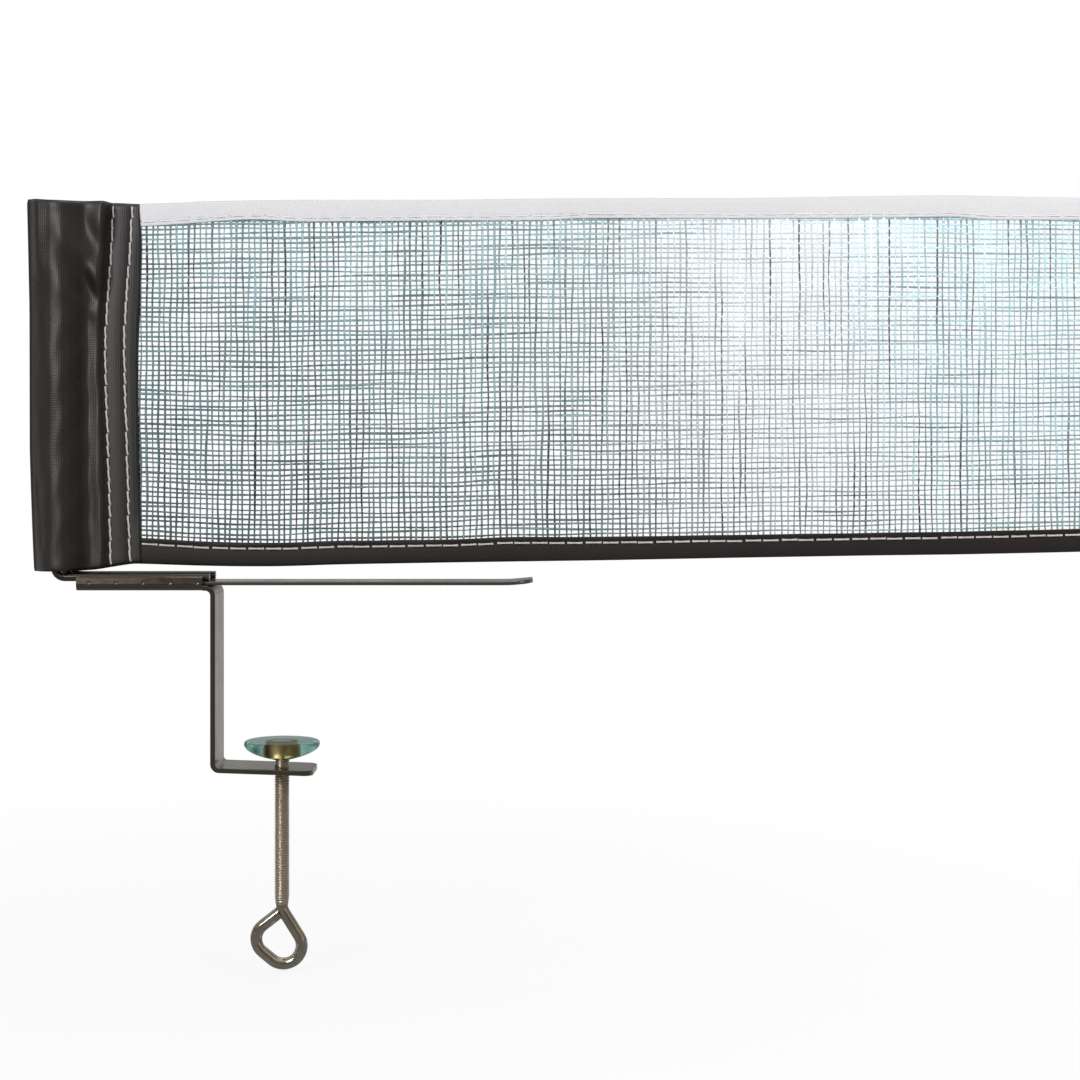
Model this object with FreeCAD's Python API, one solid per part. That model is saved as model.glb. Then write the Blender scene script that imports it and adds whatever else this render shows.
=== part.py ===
import FreeCAD, Part
import math
import os

os.makedirs("parts", exist_ok=True)

# Table tennis net clamp with its wire post and the end of its net. Millimetres.
# The origin is on the underside of the upper jaw plate, above the table's edge.
# +X runs along the net over the table, +Y away from the viewer, +Z up.

# Table that the clamp takes
table_most = 65.0
table_least = 15.0
rest_opening = 62.6
leg_gap = 4.0

# Clamp strap: steel strip, bent to a leg, a lower jaw and a channel for the post
strap_width = 24.0
strap_thick = 2.0
upper_bend_inside = 2.0
lower_bend_inside = 1.5
lower_jaw_reach = 34.3
jaw_droop_deg = 2.0
jaw_corner = 5.0
edge_round = 0.4

# Channel folded up from the outer arm of the strap, with punch marks along its walls
channel_outer_end = -59.0
channel_inner_end = -9.0
channel_lip_height = 3.6
channel_fold_inside = 0.5
channel_lean_deg = 8.0
mark_count = 5
mark_pitch = 10.75
mark_row_shift = 1.5
mark_height = 1.1
mark_width = 1.8
mark_depth = 0.35

# Upper jaw plate, a flat strip that is riveted into the channel
plate_thick = 1.5
plate_reach = 121.5
plate_setback = 0.5
plate_side_gap = 0.1
plate_tip_length = 12.0
plate_tip_rise = 1.0

# Two rivets through the plate and the channel's floor
rivet_shank = 3.2
rivet_head = 6.0
rivet_head_height = 0.9
rivet_sink_width = 5.2
rivet_sink_depth = 1.1
rivet_gap = 0.02
rivet_inset = 13.0

# Wire post: one wire, two uprights joined over the top, two feet in the channel
wire_width = 3.2
wire_side_gap = 0.06
wire_under_gap = 0.05
post_place = -68.2
post_top = 150.0
foot_bend = 4.0
foot_end = -6.8

# Clamp screw with a bent eye
screw_place = 21.0
thread_width = 6.0
thread_gap = 0.06
thread_spare = 5.7
eye_wire = 4.8
eye_low_side = 0.6
eye_low_drop = 16.6
eye_low_radius = 7.3
eye_high_side = -3.6
eye_high_drop = 13.9
eye_high_radius = 6.7
eye_rod_angle_deg = 32.0
eye_tail_angle_deg = 128.0
eye_rod_bend = 6.0
eye_tail_gap = 0.15
screw_neck = 5.0
screw_head = 8.0
screw_head_height = 1.6

# Swivel pad on the end of the screw: a metal socket in a plastic cap
pad_width = 30.0
pad_top_width = 28.4
pad_height = 7.6
pad_top_wall = 1.2
pad_rim_top = 1.2
pad_rim_low = 2.4
pad_neck_width = 8.4
pad_bulge = 0.5
pad_rim_bow = 0.2
cap_hole_gap = 0.4
pad_stop_gap = 0.3
socket_width = 13.0
socket_height = 4.6
socket_side_gap = 0.1
head_gap = 0.1
neck_gap = 0.06

# Net, with its white tape along the top and its dark hem along the bottom
net_end = 349.0
net_thick = 0.8
net_fold_gap = 0.3
net_columns = 29
net_rows = 10
strand = 1.3
net_top = 152.5
tape_height = 8.7
tape_wall = 0.35
hem_foot = 8.2
hem_height = 8.6
hem_wall = 0.45
fold_wall = 1.0

# Sleeve over the post, stitched to the net's end by two rows
sleeve_foot = 5.2
sleeve_top = 153.8
sleeve_wall = 0.45
sleeve_fold = -79.4
sleeve_fold_width = 1.6
sleeve_wire_gap = 0.35
sleeve_flat = 2.6
sleeve_seam = -48.2
sleeve_edge = -35.9
sleeve_round = 1.6
sleeve_fold_round = 0.5
sleeve_seam_round = 0.6
slit_inset = 1.2
slit_half = 0.3
slit_round = 0.2
net_tuck = 9.0

# Seams: sewn thread, front and back
thread_thick = 0.5
seam_wide = 1.0
inner_row_inset = 11.0
outer_row_inset = 3.3
sleeve_stitch = 4.2
sleeve_pitch = 4.8
hem_stitch = 6.2
hem_pitch = 7.2
hem_row_drop = 2.2
tape_row_rise = 1.6

# Places that follow from the sizes above
wire_r = wire_width / 2
lean = math.radians(channel_lean_deg)
fold_outside = channel_fold_inside + strap_thick
fold_y = strap_width / 2 - fold_outside
fold_z = fold_outside - strap_thick
foot_z = plate_thick + wire_under_gap + wire_r
lean_reach = channel_fold_inside - wire_r - wire_side_gap - (foot_z - fold_z) * math.sin(lean)
foot_y = fold_y + lean_reach / math.cos(lean)
pad_top = -rest_opening
pad_foot = pad_top - pad_height
jaw_top = -table_most - pad_height - pad_stop_gap
thread_end = jaw_top - strap_thick - (rest_opening - table_least) - thread_spare
leg_middle = -leg_gap - strap_thick / 2
socket_top = pad_top - pad_top_wall
socket_foot = socket_top - socket_height
head_foot = socket_top - head_gap - screw_head_height
flap_half = net_thick / 2 + sleeve_wall


def vec(x, y, z):
    return FreeCAD.Vector(x, y, z)


def in_xz(x, z):
    return vec(x, 0, z)


def line(a, b):
    return Part.LineSegment(a, b).toShape()


def arc_by_centre(centre, radius, start_deg, end_deg, to_point):
    """Arc from one angle to another; to_point turns two flat coordinates into a place."""
    def at(degrees):
        turn = math.radians(degrees)
        flat = (centre[0] + radius * math.cos(turn), centre[1] + radius * math.sin(turn))
        return to_point(*flat)

    return Part.Arc(at(start_deg), at((start_deg + end_deg) / 2), at(end_deg)).toShape()


def rounded_outline(corners, to_point):
    """Closed outline through (a, b, radius) corners, each rounded by its own radius."""
    edges = []
    count = len(corners)
    cuts = []
    for index in range(count):
        ax, ay, _ = corners[index - 1]
        bx, by, radius = corners[index]
        cx, cy, _ = corners[(index + 1) % count]
        back = math.hypot(ax - bx, ay - by)
        ahead = math.hypot(cx - bx, cy - by)
        ux, uy = (ax - bx) / back, (ay - by) / back
        wx, wy = (cx - bx) / ahead, (cy - by) / ahead
        half = math.acos(max(-1.0, min(1.0, ux * wx + uy * wy))) / 2
        run = radius / math.tan(half)
        mx, my = (ux + wx), (uy + wy)
        size = math.hypot(mx, my)
        deep = radius / math.sin(half) - radius
        start = to_point(bx + ux * run, by + uy * run)
        middle = to_point(bx + mx / size * deep, by + my / size * deep)
        end = to_point(bx + wx * run, by + wy * run)
        cuts.append((start, middle, end))
    for index, (start, middle, end) in enumerate(cuts):
        edges.append(Part.Arc(start, middle, end).toShape())
        following = cuts[(index + 1) % count][0]
        edges.append(line(end, following))
    return Part.Wire(Part.__sortEdges__(edges))


def strip_section(place, across, width, thick):
    """Rounded section of a strip that starts at a place and runs square to across."""
    side = vec(0, 1, 0)
    half_w, half_t = width / 2, thick / 2
    corners = [(-half_w, -half_t, edge_round), (half_w, -half_t, edge_round),
               (half_w, half_t, edge_round), (-half_w, half_t, edge_round)]
    return rounded_outline(corners, lambda a, b: place + side * a + across * b)


def sweep(path_edges, section):
    path = Part.Wire(path_edges)
    return path.makePipeShell([section], True, False)


def round_corners(strip, tip_x, width, radius, low, high):
    """Round the two corners of a strip's end, as seen from above."""
    for side in (-1, 1):
        outer = side * (width / 2 + 1)
        inner = side * (width / 2 - radius)
        block = Part.makeBox(radius + 2, abs(outer - inner), high - low,
                             vec(tip_x - radius, min(outer, inner), low))
        post = Part.makeCylinder(radius, high - low, vec(tip_x - radius, inner, low))
        strip = strip.cut(block.cut(post))
    return strip


def wall_point(radius, height):
    """Place (y, z) on a channel wall's face, named by that face's fold radius."""
    along = (height - fold_z - radius * math.sin(lean)) / math.cos(lean)
    return (fold_y + radius * math.cos(lean) - along * math.sin(lean), height)


def channel_section():
    """Section of the channel: floor, two folded corners and two leaning walls."""
    cos_l, sin_l = math.cos(lean), math.sin(lean)

    def at(y, z):
        return vec(channel_inner_end, y, z)

    lip_low = channel_lip_height - edge_round
    halves = []
    for side in (1, -1):
        def place(y, z, side=side):
            return at(side * y, z)

        outer_wall = wall_point(fold_outside, lip_low)
        inner_wall = wall_point(channel_fold_inside, lip_low)
        outer_lip = wall_point(fold_outside - edge_round, channel_lip_height)
        inner_lip = wall_point(channel_fold_inside + edge_round, channel_lip_height)
        fold_end = (fold_y + fold_outside * cos_l, fold_z + fold_outside * sin_l)
        inside_end = (fold_y + channel_fold_inside * cos_l, fold_z + channel_fold_inside * sin_l)
        edges = [
            line(place(0, -strap_thick), place(fold_y, -strap_thick)),
            arc_by_centre((fold_y, fold_z), fold_outside, -90, channel_lean_deg, place),
            line(place(*fold_end), place(*outer_wall)),
            line(place(*outer_wall), place(*outer_lip)),
            line(place(*outer_lip), place(*inner_lip)),
            line(place(*inner_lip), place(*inner_wall)),
            line(place(*inner_wall), place(*inside_end)),
            arc_by_centre((fold_y, fold_z), channel_fold_inside, -90, channel_lean_deg, place),
            line(place(fold_y, 0), place(0, 0)),
        ]
        halves += edges
    return Part.Face(Part.Wire(Part.__sortEdges__(halves)))


def wall_marks():
    """Shallow round punch marks in a row along the outside of both channel walls."""
    ball = mark_width ** 2 / (8 * mark_depth) + mark_depth / 2
    stand_off = ball - mark_depth
    wall_y, wall_z = wall_point(fold_outside, mark_height)
    y = wall_y + stand_off * math.cos(lean)
    z = wall_z + stand_off * math.sin(lean)
    middle = (channel_outer_end + channel_inner_end) / 2 + mark_row_shift
    first = middle - mark_pitch * (mark_count - 1) / 2
    places = [first + i * mark_pitch for i in range(mark_count)]
    return [Part.makeSphere(ball, vec(x, side * y, z)) for x in places for side in (-1, 1)]


def rivet_places():
    left = channel_outer_end + rivet_inset
    right = channel_inner_end - rivet_inset
    return (left, right)


def clamp_strap():
    """Channel, leg and lower jaw, one bent strip with a tapped hole in the lower jaw."""
    droop = math.radians(jaw_droop_deg)
    half = strap_thick / 2
    upper = (-leg_gap - strap_thick - upper_bend_inside, -strap_thick - upper_bend_inside)
    upper_r = upper_bend_inside + half
    lower_r = lower_bend_inside + half
    drop_at_screw = (screw_place + leg_gap - lower_bend_inside) * math.tan(droop)
    lower = (-leg_gap + lower_bend_inside, jaw_top + drop_at_screw + lower_bend_inside)
    turn_end = (lower[0] - lower_r * math.sin(droop), lower[1] - lower_r * math.cos(droop))
    jaw_length = (lower_jaw_reach - turn_end[0]) / math.cos(droop)
    jaw_end = (turn_end[0] + jaw_length * math.cos(droop), turn_end[1] - jaw_length * math.sin(droop))
    path = [
        line(in_xz(channel_inner_end, -half), in_xz(upper[0], -half)),
        arc_by_centre(upper, upper_r, 90, 0, in_xz),
        line(in_xz(leg_middle, upper[1]), in_xz(leg_middle, lower[1])),
        arc_by_centre(lower, lower_r, 180, 270 - jaw_droop_deg, in_xz),
        line(in_xz(*turn_end), in_xz(*jaw_end)),
    ]
    section = strip_section(in_xz(channel_inner_end, -half), vec(0, 0, 1), strap_width, strap_thick)
    bent = sweep(path, section)
    bent = round_corners(bent, lower_jaw_reach, strap_width, jaw_corner,
                         jaw_end[1] - strap_thick, jaw_top + strap_thick)
    channel = channel_section().extrude(vec(channel_outer_end - channel_inner_end, 0, 0))
    strap = bent.fuse(channel).removeSplitter()
    tapped = Part.makeCylinder(thread_width / 2 + thread_gap, 4 * strap_thick,
                               vec(screw_place, 0, jaw_top - 3 * strap_thick))
    strap = strap.cut(tapped)
    for x in rivet_places():
        strap = strap.cut(rivet_hole(x))
    return strap.cut(wall_marks())


def rivet_hole(x):
    """Hole for a rivet through plate and floor, sunk on the underside."""
    bore = Part.makeCylinder(rivet_shank / 2 + rivet_gap, plate_thick + strap_thick + 2,
                             vec(x, 0, -strap_thick - 1))
    sink = Part.makeCone(rivet_sink_width / 2 + rivet_gap, rivet_shank / 2 + rivet_gap,
                         rivet_sink_depth, vec(x, 0, -strap_thick))
    return bore.fuse(sink)


def upper_jaw_plate():
    """Flat strip from the channel's outer end to its turned-up tip over the table.

    Its underside has two faces that meet above the leg: one lies in the channel, one on the table.
    """
    half = plate_thick / 2
    width = 2 * (fold_y - plate_side_gap)
    start = channel_outer_end + plate_setback
    bend_start = plate_reach - plate_tip_length
    radius = (plate_tip_length ** 2 + plate_tip_rise ** 2) / (2 * plate_tip_rise)
    turn = math.degrees(math.asin(plate_tip_length / radius))
    path = [
        line(in_xz(start, half), in_xz(-leg_gap, half)),
        line(in_xz(-leg_gap, half), in_xz(bend_start, half)),
        arc_by_centre((bend_start, half + radius), radius, -90, -90 + turn, in_xz),
    ]
    section = strip_section(in_xz(start, half), vec(0, 0, 1), width, plate_thick)
    plate = sweep(path, section)
    plate = round_corners(plate, plate_reach, width, jaw_corner,
                          -plate_thick, 3 * plate_thick + plate_tip_rise)
    for x in rivet_places():
        plate = plate.cut(rivet_hole(x))
    return plate


def plate_rivets():
    """Two rivets, low round heads above and sunk heads flush below."""
    rivets = []
    for x in rivet_places():
        shank = Part.makeCylinder(rivet_shank / 2, plate_thick + strap_thick, vec(x, 0, -strap_thick))
        sunk = Part.makeCone(rivet_sink_width / 2, rivet_shank / 2, rivet_sink_depth,
                             vec(x, 0, -strap_thick))
        head_r = rivet_head / 2
        ball = (head_r ** 2 + rivet_head_height ** 2) / (2 * rivet_head_height)
        dome = Part.makeSphere(ball, vec(x, 0, plate_thick + rivet_head_height - ball))
        keep = Part.makeCylinder(head_r + 1, rivet_head_height + 1, vec(x, 0, plate_thick))
        rivets.append(shank.fuse([sunk, dome.common(keep)]).removeSplitter())
    return Part.makeCompound(rivets)


def post_wire():
    """One wire: foot, upright, round top, upright, foot."""
    bend_x = post_place + foot_bend
    bend_z = foot_z + foot_bend
    crown_z = post_top - wire_r - foot_y
    edges = []
    for side in (-1, 1):
        def place(x, z, side=side):
            return vec(x, side * foot_y, z)

        edges += [
            line(place(foot_end, foot_z), place(bend_x, foot_z)),
            arc_by_centre((bend_x, bend_z), foot_bend, 270, 180, place),
            line(place(post_place, bend_z), place(post_place, crown_z)),
        ]
    crown = arc_by_centre((0, crown_z), foot_y, 180, 0, lambda y, z: vec(post_place, y, z))
    path = Part.Wire(Part.__sortEdges__(edges + [crown]))
    start = vec(foot_end, -foot_y, foot_z)
    section = Part.Wire(Part.makeCircle(wire_r, start, vec(1, 0, 0)))
    return path.makePipeShell([section], True, False)


def on_circle(middle, radius, degrees):
    turn = math.radians(degrees)
    return (middle[0] + radius * math.cos(turn), middle[1] + radius * math.sin(turn))


def shared_tangent_deg(first, first_r, second, second_r):
    """Angle at which a straight run leaves one circle and meets the next, both clockwise."""
    run_x, run_z = second[0] - first[0], second[1] - first[1]
    return math.degrees(math.atan2(run_z, run_x)
                        + math.acos((first_r - second_r) / math.hypot(run_x, run_z)))


def eye_loop():
    """Bent eye below the thread: rod, knee, leg, two round turns, and a tail back to the rod."""
    low = (screw_place + eye_low_side, thread_end - eye_low_drop)
    high = (screw_place + eye_high_side, thread_end - eye_high_drop)
    rod_turn = math.radians(eye_rod_angle_deg)
    tail_turn = math.radians(eye_tail_angle_deg)
    leave = on_circle(low, eye_low_radius, eye_rod_angle_deg)
    run = (leave[0] - screw_place) / math.sin(rod_turn)
    knee_z = leave[1] + run * math.cos(rod_turn)
    cut = eye_rod_bend * math.tan(rod_turn / 2)
    knee_low = (screw_place + cut * math.sin(rod_turn), knee_z - cut * math.cos(rod_turn))
    knee_high = (screw_place, knee_z + cut)
    knee_middle = (screw_place + eye_rod_bend, knee_high[1])
    rod_top = thread_end + eye_wire
    shared = shared_tangent_deg(low, eye_low_radius, high, eye_high_radius)
    leg = [
        line(in_xz(screw_place, rod_top), in_xz(*knee_high)),
        arc_by_centre(knee_middle, eye_rod_bend, 180, 180 + eye_rod_angle_deg, in_xz),
        line(in_xz(*knee_low), in_xz(*leave)),
    ]
    turns = [
        arc_by_centre(low, eye_low_radius, eye_rod_angle_deg, shared - 360, in_xz),
        line(in_xz(*on_circle(low, eye_low_radius, shared)),
             in_xz(*on_circle(high, eye_high_radius, shared))),
        arc_by_centre(high, eye_high_radius, shared, eye_tail_angle_deg, in_xz),
    ]
    tail = on_circle(high, eye_high_radius, eye_tail_angle_deg)
    tail_run = (screw_place - tail[0]) / math.sin(tail_turn)
    tail_end = (screw_place, tail[1] - tail_run * math.cos(tail_turn))
    tail_path = [line(in_xz(*tail), in_xz(*tail_end))]

    def bar(edges, radius, start, way):
        section = Part.Wire(Part.makeCircle(radius, in_xz(*start), way))
        return Part.Wire(edges).makePipeShell([section], True, False)

    down = vec(0, 0, -1)
    tail_way = vec(math.sin(tail_turn), 0, -math.cos(tail_turn))
    loop = bar(leg + turns, eye_wire / 2, (screw_place, rod_top), down)
    clear = bar(leg, eye_wire / 2 + eye_tail_gap, (screw_place, rod_top), down)
    return loop.fuse(bar(tail_path, eye_wire / 2, tail, tail_way).cut(clear))


def clamp_screw():
    """Threaded rod with a peened head and neck at the top and a bent eye below."""
    shoulder = socket_foot - head_gap
    thread = Part.makeCylinder(thread_width / 2, shoulder - thread_end, vec(screw_place, 0, thread_end))
    neck = Part.makeCylinder(screw_neck / 2, head_foot - shoulder, vec(screw_place, 0, shoulder))
    head = Part.makeCylinder(screw_head / 2, screw_head_height, vec(screw_place, 0, head_foot))
    return thread.fuse([neck, head, eye_loop()]).removeSplitter()


def turned(corners):
    """Body of revolution about the screw's axis from (radius, height) corners."""
    points = [vec(screw_place + r, 0, z) for r, z in corners]
    outline = Part.Face(Part.makePolygon(points + [points[0]]))
    return outline.revolve(vec(screw_place, 0, 0), vec(0, 0, 1), 360)


def pad_socket():
    """Metal socket that turns freely on the screw's neck and carries the cap."""
    outer = socket_width / 2
    bore = screw_neck / 2 + neck_gap
    pocket = screw_head / 2 + head_gap
    ledge = head_foot - head_gap
    return turned([(bore, socket_foot), (outer, socket_foot), (outer, socket_top),
                   (pocket, socket_top), (pocket, ledge), (bore, ledge)])


def pad_cap():
    """Plastic cap: flat face to the table, round rim, bulged underside, open neck."""
    rim = pad_width / 2
    neck = pad_neck_width / 2
    hole = thread_width / 2 + cap_hole_gap
    top_r = pad_top_width / 2
    rim_top = pad_top - pad_rim_top
    rim_low = pad_top - pad_rim_low

    def at(r, z):
        return vec(screw_place + r, 0, z)

    sag = ((rim + neck) / 2 + pad_bulge / 2, (rim_low + pad_foot) / 2 - pad_bulge)
    edges = [
        line(at(0, pad_top), at(top_r, pad_top)),
        Part.Arc(at(top_r, pad_top), at(rim - pad_rim_bow, pad_top - pad_rim_top / 2),
                 at(rim, rim_top)).toShape(),
        line(at(rim, rim_top), at(rim, rim_low)),
        Part.Arc(at(rim, rim_low), at(*sag), at(neck, pad_foot)).toShape(),
        line(at(neck, pad_foot), at(hole, pad_foot)),
        line(at(hole, pad_foot), at(hole, socket_foot - socket_side_gap)),
        line(at(hole, socket_foot - socket_side_gap), at(0, socket_foot - socket_side_gap)),
        line(at(0, socket_foot - socket_side_gap), at(0, pad_top)),
    ]
    outline = Part.Face(Part.Wire(edges))
    cap = outline.revolve(vec(screw_place, 0, 0), vec(0, 0, 1), 360)
    pocket = Part.makeCylinder(socket_width / 2, socket_height + socket_side_gap,
                               vec(screw_place, 0, socket_foot - socket_side_gap))
    return cap.cut(pocket)


def net_mesh():
    """The net as one sheet with square gaps; the real net has finer squares."""
    left = sleeve_edge - net_tuck
    foot = hem_foot + fold_wall + net_fold_gap
    top = net_top - fold_wall - net_fold_gap
    open_foot = hem_foot + hem_height + strand / 2
    open_top = net_top - tape_height - strand / 2

    def outline(x0, z0, x1, z1):
        corners = [vec(x0, -net_thick / 2, z0), vec(x1, -net_thick / 2, z0),
                   vec(x1, -net_thick / 2, z1), vec(x0, -net_thick / 2, z1)]
        return Part.makePolygon(corners + [corners[0]])

    column = (net_end - sleeve_edge) / net_columns
    row = (open_top - open_foot) / net_rows
    gaps = []
    for i in range(net_columns):
        for k in range(net_rows):
            x0 = sleeve_edge + i * column + strand / 2
            z0 = open_foot + k * row + strand / 2
            gaps.append(outline(x0, z0, x0 + column - strand, z0 + row - strand))
    sheet = Part.makeFace([outline(left, foot, net_end, top)] + gaps, "Part::FaceMakerBullseye")
    return sheet.extrude(vec(0, net_thick, 0))


def folded_strip(low, high, wall, opens_up):
    """Strip folded over an edge of the net, with a slot for the net."""
    half = net_thick / 2 + wall
    strip = Part.makeBox(net_end - sleeve_edge, 2 * half, high - low, vec(sleeve_edge, -half, low))
    slot_low = low + fold_wall if opens_up else low
    slot = Part.makeBox(net_end - sleeve_edge, net_thick, high - low - fold_wall,
                        vec(sleeve_edge, -net_thick / 2, slot_low))
    return strip.cut(slot)


def top_tape():
    return folded_strip(net_top - tape_height, net_top, tape_wall, False)


def bottom_hem():
    return folded_strip(hem_foot, hem_foot + hem_height, hem_wall, True)


def net_sleeve():
    """Sleeve: a loose tube round the two uprights, closed by a flap along the net's end."""
    ridge_y = foot_y + wire_r + sleeve_wire_gap
    fold_y_half = sleeve_fold_width / 2

    def on_foot(x, y):
        return vec(x, y, sleeve_foot)

    left, right = post_place - sleeve_flat, post_place + foot_bend + sleeve_flat
    slit = sleeve_seam - slit_inset
    inner = [(sleeve_fold, fold_y_half, sleeve_fold_round), (left, ridge_y, sleeve_round),
             (right, ridge_y, sleeve_round), (slit, slit_half, slit_round), (slit, -slit_half, slit_round),
             (right, -ridge_y, sleeve_round), (left, -ridge_y, sleeve_round),
             (sleeve_fold, -fold_y_half, sleeve_fold_round)]
    outer_y = ridge_y + sleeve_wall
    outer_left = sleeve_fold - sleeve_wall
    half_wall = sleeve_wall / 2
    outer_r = sleeve_round + sleeve_wall
    fold_r = sleeve_fold_round + half_wall
    outer = [(outer_left, fold_y_half, fold_r), (left - half_wall, outer_y, outer_r),
             (right + half_wall, outer_y, outer_r), (sleeve_seam, flap_half, sleeve_seam_round),
             (sleeve_edge, flap_half, slit_round), (sleeve_edge, -flap_half, slit_round),
             (sleeve_seam, -flap_half, sleeve_seam_round), (right + half_wall, -outer_y, outer_r),
             (left - half_wall, -outer_y, outer_r), (outer_left, -fold_y_half, fold_r)]
    tall = vec(0, 0, sleeve_top - sleeve_foot)
    body = Part.Face(rounded_outline(outer, on_foot)).extrude(tall)
    hollow = Part.Face(rounded_outline(inner, on_foot)).extrude(tall)
    slot = Part.makeBox(net_tuck, net_thick, tall.z,
                        vec(sleeve_edge - net_tuck, -net_thick / 2, sleeve_foot))
    return body.cut(hollow).cut(slot)


def seam(places, make_bar):
    """Stitches on the front and the back of the cloth, one bar for each."""
    bars = [make_bar(place, side) for place in places for side in (-1, 1)]
    return Part.makeCompound(bars)


def sleeve_seam_row(inset):
    x = sleeve_edge - inset
    count = int((sleeve_top - sleeve_foot) / sleeve_pitch)
    spare = (sleeve_top - sleeve_foot) - count * sleeve_pitch
    first = sleeve_foot + (spare + sleeve_pitch - sleeve_stitch) / 2

    def bar(z, side):
        low_y = flap_half if side > 0 else -flap_half - thread_thick
        return Part.makeBox(seam_wide, thread_thick, sleeve_stitch, vec(x - seam_wide / 2, low_y, z))

    return seam([first + i * sleeve_pitch for i in range(count)], bar)


def long_seam_row(z, wall):
    """Row of stitches along a folded strip, from the sleeve to the net's end."""
    count = int((net_end - sleeve_edge) / hem_pitch)
    first = sleeve_edge + (hem_pitch - hem_stitch) / 2
    half = net_thick / 2 + wall

    def bar(x, side):
        low_y = half if side > 0 else -half - thread_thick
        return Part.makeBox(hem_stitch, thread_thick, seam_wide, vec(x, low_y, z - seam_wide / 2))

    return seam([first + i * hem_pitch for i in range(count)], bar)


def hem_seam_row():
    return long_seam_row(hem_foot + hem_height - hem_row_drop, hem_wall)


def tape_seam_row():
    return long_seam_row(net_top - tape_height + tape_row_rise, tape_wall)


def build():
    pieces = {
        "clamp_strap": clamp_strap(),
        "upper_jaw_plate": upper_jaw_plate(),
        "plate_rivets": plate_rivets(),
        "post_wire": post_wire(),
        "clamp_screw": clamp_screw(),
        "pad_socket": pad_socket(),
        "pad_cap": pad_cap(),
        "net_mesh": net_mesh(),
        "top_tape": top_tape(),
        "bottom_hem": bottom_hem(),
        "net_sleeve": net_sleeve(),
        "sleeve_seam_inner": sleeve_seam_row(inner_row_inset),
        "sleeve_seam_outer": sleeve_seam_row(outer_row_inset),
        "hem_seam": hem_seam_row(),
        "tape_seam": tape_seam_row(),
    }
    for name, shape in pieces.items():
        shape.exportStep("parts/" + name + ".step")
        print(name, "solids", len(shape.Solids), "valid", shape.isValid(), "volume", round(shape.Volume, 2))


build()
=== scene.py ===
# %% [markdown]
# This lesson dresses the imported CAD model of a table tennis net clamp: bent plated steel, a wire
# post in a dark nylon sleeve, and the end of a woven net with its tape and hem.

# %% Load the frame
import math

import bmesh
import bpy
import numpy as np
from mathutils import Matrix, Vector


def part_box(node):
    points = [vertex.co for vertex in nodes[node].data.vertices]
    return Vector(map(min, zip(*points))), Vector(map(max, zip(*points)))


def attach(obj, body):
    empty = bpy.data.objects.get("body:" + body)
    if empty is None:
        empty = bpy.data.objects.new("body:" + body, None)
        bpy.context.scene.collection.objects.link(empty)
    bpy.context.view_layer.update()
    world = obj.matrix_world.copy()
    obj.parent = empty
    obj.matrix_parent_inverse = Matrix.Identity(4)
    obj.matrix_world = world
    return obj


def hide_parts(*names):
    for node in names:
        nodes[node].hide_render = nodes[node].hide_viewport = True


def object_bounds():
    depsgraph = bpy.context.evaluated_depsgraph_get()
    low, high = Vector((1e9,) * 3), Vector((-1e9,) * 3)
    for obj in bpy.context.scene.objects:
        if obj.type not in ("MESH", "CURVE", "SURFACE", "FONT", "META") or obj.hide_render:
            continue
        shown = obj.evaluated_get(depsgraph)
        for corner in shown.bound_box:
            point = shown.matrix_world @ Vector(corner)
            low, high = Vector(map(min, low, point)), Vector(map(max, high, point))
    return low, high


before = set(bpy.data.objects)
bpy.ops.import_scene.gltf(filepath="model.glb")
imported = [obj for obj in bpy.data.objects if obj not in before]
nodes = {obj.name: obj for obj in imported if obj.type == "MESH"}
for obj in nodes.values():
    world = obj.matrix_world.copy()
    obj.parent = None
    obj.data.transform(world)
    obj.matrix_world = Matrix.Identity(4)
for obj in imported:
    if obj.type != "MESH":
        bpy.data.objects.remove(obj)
scene = bpy.context.scene
cad_low, cad_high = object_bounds()
MM = 0.001
print("CAD box in mm:", [round(side / MM, 1) for side in cad_high - cad_low])

# %% [markdown]
# Every mesh below starts as numpy arrays in millimetres, because real sizes are easiest to read and
# check that way, and because long, wavy cloth is quick to make from them. These helpers turn arrays
# into a Blender mesh in metres, and an object with live modifiers into a plain mesh.

# %% Helpers for meshes


def ease(value, start, end):
    """0 before start, 1 after end, and a smooth rise between them."""
    share = np.clip((value - start) / (end - start), 0, 1)
    return share * share * (3 - 2 * share)


def swell(value, middle, width):
    """A soft hump of height 1 around middle."""
    return np.exp(-((value - middle) / width) ** 2)


def soft_line(knots, softness):
    """A smooth curve close to (place, value) points, as a function of the place."""
    places, values = zip(*knots)
    fine = np.arange(places[0] - 4 * softness, places[-1] + 4 * softness, softness / 8)
    weights = np.exp(-(np.arange(-16, 17) / 8) ** 2)
    padded = np.pad(np.interp(fine, places, values), 16, mode="edge")
    smooth = np.convolve(padded, weights / weights.sum(), mode="valid")
    return lambda place: np.interp(place, fine, smooth)


def put_in_scene(name, data):
    """A new object that holds this mesh, curve, camera or lamp."""
    thing = bpy.data.objects.new(name, data)
    scene.collection.objects.link(thing)
    return thing


def make_piece(name, points_mm, faces, edges=()):
    mesh = bpy.data.meshes.new(name)
    mesh.from_pydata((np.asarray(points_mm) * MM).tolist(), edges, faces)
    mesh.update()
    mesh.shade_smooth()
    return put_in_scene(name, mesh)


def grid_faces(columns, rows):
    """Faces of a grid whose points are stored column by column."""
    return [
        (c * rows + r, c * rows + r + 1, (c + 1) * rows + r + 1, (c + 1) * rows + r)
        for c in range(columns - 1) for r in range(rows - 1)]


def plain_mesh(thing):
    """The shape of a curve or of a piece with its modifiers, as a plain mesh."""
    shape = thing.evaluated_get(bpy.context.evaluated_depsgraph_get())
    mesh = bpy.data.meshes.new_from_object(shape)
    mesh.shade_smooth()
    return mesh


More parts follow.
